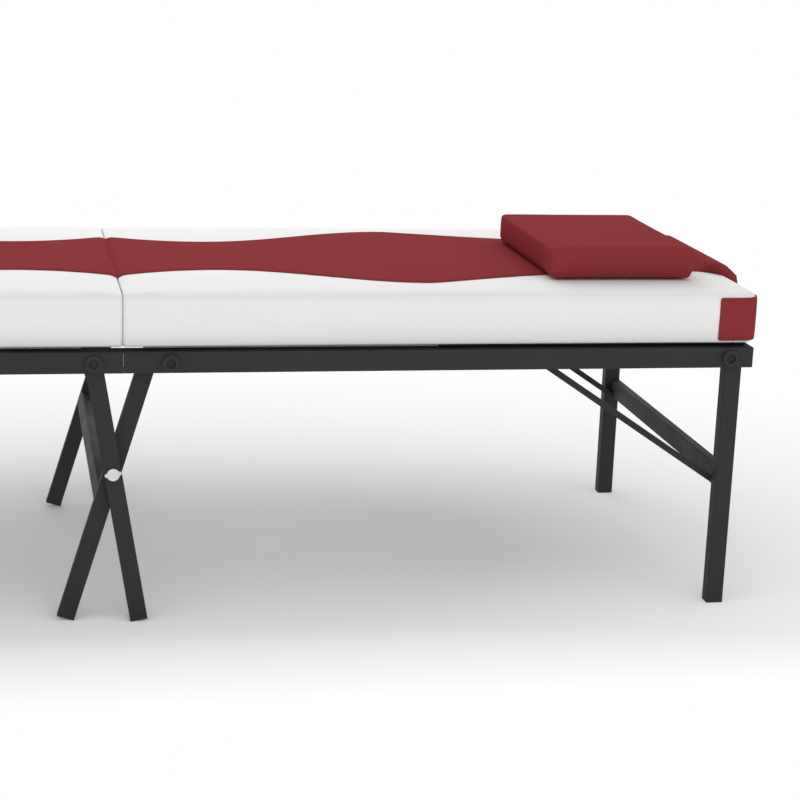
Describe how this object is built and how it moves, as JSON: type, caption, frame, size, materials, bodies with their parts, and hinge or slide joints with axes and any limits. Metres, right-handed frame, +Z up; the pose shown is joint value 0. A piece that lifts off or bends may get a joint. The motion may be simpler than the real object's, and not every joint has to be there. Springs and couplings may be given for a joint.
{
  "type": "massage bed",
  "caption": "Folding massage bed: two padded halves with a wavy band on a steel frame, folding end legs with braces, crossed legs at the middle fold, and a loose head pillow.",
  "frame": {"origin": "centre of the bounding box in plan, on the floor, under the split between the two halves", "axes": "+X along the bed to the pillow end, +Y across it to the far side of the picture, +Z up"},
  "size_m": [1.892, 0.612, 0.5336],
  "materials": {
    "frame_paint": "smooth satin dark grey powder coat",
    "grey_board": "hardboard sheet faced in light grey",
    "black_board": "hardboard sheet faced in black",
    "white_vinyl": "fine-grained soft white upholstery vinyl over foam",
    "red_vinyl": "fine-grained matt brick-red upholstery vinyl",
    "pillow_vinyl": "fine-grained matt brick-red upholstery vinyl over foam",
    "black_plastic": "moulded black plastic",
    "zinc_steel": "bright zinc plating"
  },
  "bodies": {
    "foot_half": {"foot_rail_near": "frame_paint", "foot_rail_far": "frame_paint", "foot_end_rail": "frame_paint", "foot_slats": "frame_paint", "foot_deck_inner": "grey_board", "foot_deck_outer": "black_board", "foot_cushion": "white_vinyl", "foot_band": "red_vinyl", "foot_corner_patches": "red_vinyl", "foot_hinge_leaves": "frame_paint", "hinge_pins": "zinc_steel", "foot_end_pivots": "frame_paint", "outer_leg_pivots": "frame_paint", "foot_brace_guides": "frame_paint"},
    "head_half": {"head_rail_near": "frame_paint", "head_rail_far": "frame_paint", "head_end_rail": "frame_paint", "head_slats": "frame_paint", "head_deck_inner": "grey_board", "head_deck_outer": "black_board", "head_cushion": "white_vinyl", "head_band": "red_vinyl", "head_corner_patches": "red_vinyl", "head_hinge_leaves": "frame_paint", "head_end_pivots": "frame_paint", "inner_leg_brackets": "frame_paint", "bracket_rivets": "frame_paint", "head_brace_guides": "frame_paint"},
    "foot_end_legs": {"foot_leg_near": "frame_paint", "foot_leg_far": "frame_paint", "foot_leg_heads": "frame_paint", "foot_leg_crossbar": "frame_paint", "foot_leg_plugs": "black_plastic", "foot_brace_pins": "frame_paint"},
    "head_end_legs": {"head_leg_near": "frame_paint", "head_leg_far": "frame_paint", "head_leg_heads": "frame_paint", "head_leg_crossbar": "frame_paint", "head_leg_plugs": "black_plastic", "head_brace_pins": "frame_paint"},
    "foot_braces": {"foot_brace_near": "frame_paint", "foot_brace_far": "frame_paint", "foot_brace_stiffeners": "frame_paint", "foot_brace_sliders": "frame_paint"},
    "head_braces": {"head_brace_near": "frame_paint", "head_brace_far": "frame_paint", "head_brace_stiffeners": "frame_paint", "head_brace_sliders": "frame_paint"},
    "outer_x_legs": {"outer_x_leg_near": "frame_paint", "outer_x_leg_far": "frame_paint", "outer_x_leg_plugs": "black_plastic", "crossing_bolts": "zinc_steel"},
    "inner_x_legs": {"inner_x_leg_near": "frame_paint", "inner_x_leg_far": "frame_paint", "x_leg_crossbar": "frame_paint", "inner_x_leg_plugs": "black_plastic", "crossing_nuts": "zinc_steel"},
    "pillow": {"pillow": "pillow_vinyl"}
  },
  "joints": [
    {"name": "centre_fold", "type": "hinge", "parent": "foot_half", "child": "head_half", "pos_m": [0, 0, 0.3715], "axis": [0, 1, 0], "range_deg": [0, 177]},
    {"name": "outer_x_leg_fold", "type": "hinge", "parent": "foot_half", "child": "outer_x_legs", "pos_m": [-0.0415, 0, 0.3865], "axis": [0, 1, 0], "range_deg": [0, 92.72]},
    {"name": "inner_x_leg_fold", "type": "hinge", "parent": "head_half", "child": "inner_x_legs", "pos_m": [0.0364, 0, 0.3865], "axis": [0, 1, 0], "range_deg": [-100.1, 0]},
    {"name": "head_leg_fold", "type": "hinge", "parent": "head_half", "child": "head_end_legs", "pos_m": [0.894, 0, 0.3865], "axis": [0, 1, 0], "range_deg": [0, 90.02]},
    {"name": "foot_leg_fold", "type": "hinge", "parent": "foot_half", "child": "foot_end_legs", "pos_m": [-0.894, 0, 0.3865], "axis": [0, 1, 0], "range_deg": [-90.02, 0]},
    {"name": "head_brace_fold", "type": "hinge", "parent": "head_end_legs", "child": "head_braces", "pos_m": [0.8945, 0, 0.188], "axis": [0, 1, 0], "range_deg": [-124.66, 0]},
    {"name": "foot_brace_fold", "type": "hinge", "parent": "foot_end_legs", "child": "foot_braces", "pos_m": [-0.8945, 0, 0.188], "axis": [0, 1, 0], "range_deg": [0, 124.66]},
    {"name": "pillow_lift", "type": "slide", "parent": "head_half", "child": "pillow", "axis": [0, 0, 1], "range_m": [0, 0.15]}
  ],
  "couplings": [
    {"joint": "outer_x_leg_fold", "follows": "centre_fold", "ratio": 0.52371},
    {"joint": "inner_x_leg_fold", "follows": "centre_fold", "ratio": -0.56545},
    {"joint": "head_leg_fold", "follows": "centre_fold", "ratio": 0.50848},
    {"joint": "foot_leg_fold", "follows": "centre_fold", "ratio": -0.50848},
    {"joint": "head_brace_fold", "follows": "centre_fold", "ratio": -0.70416},
    {"joint": "foot_brace_fold", "follows": "centre_fold", "ratio": 0.70416}
  ]
}
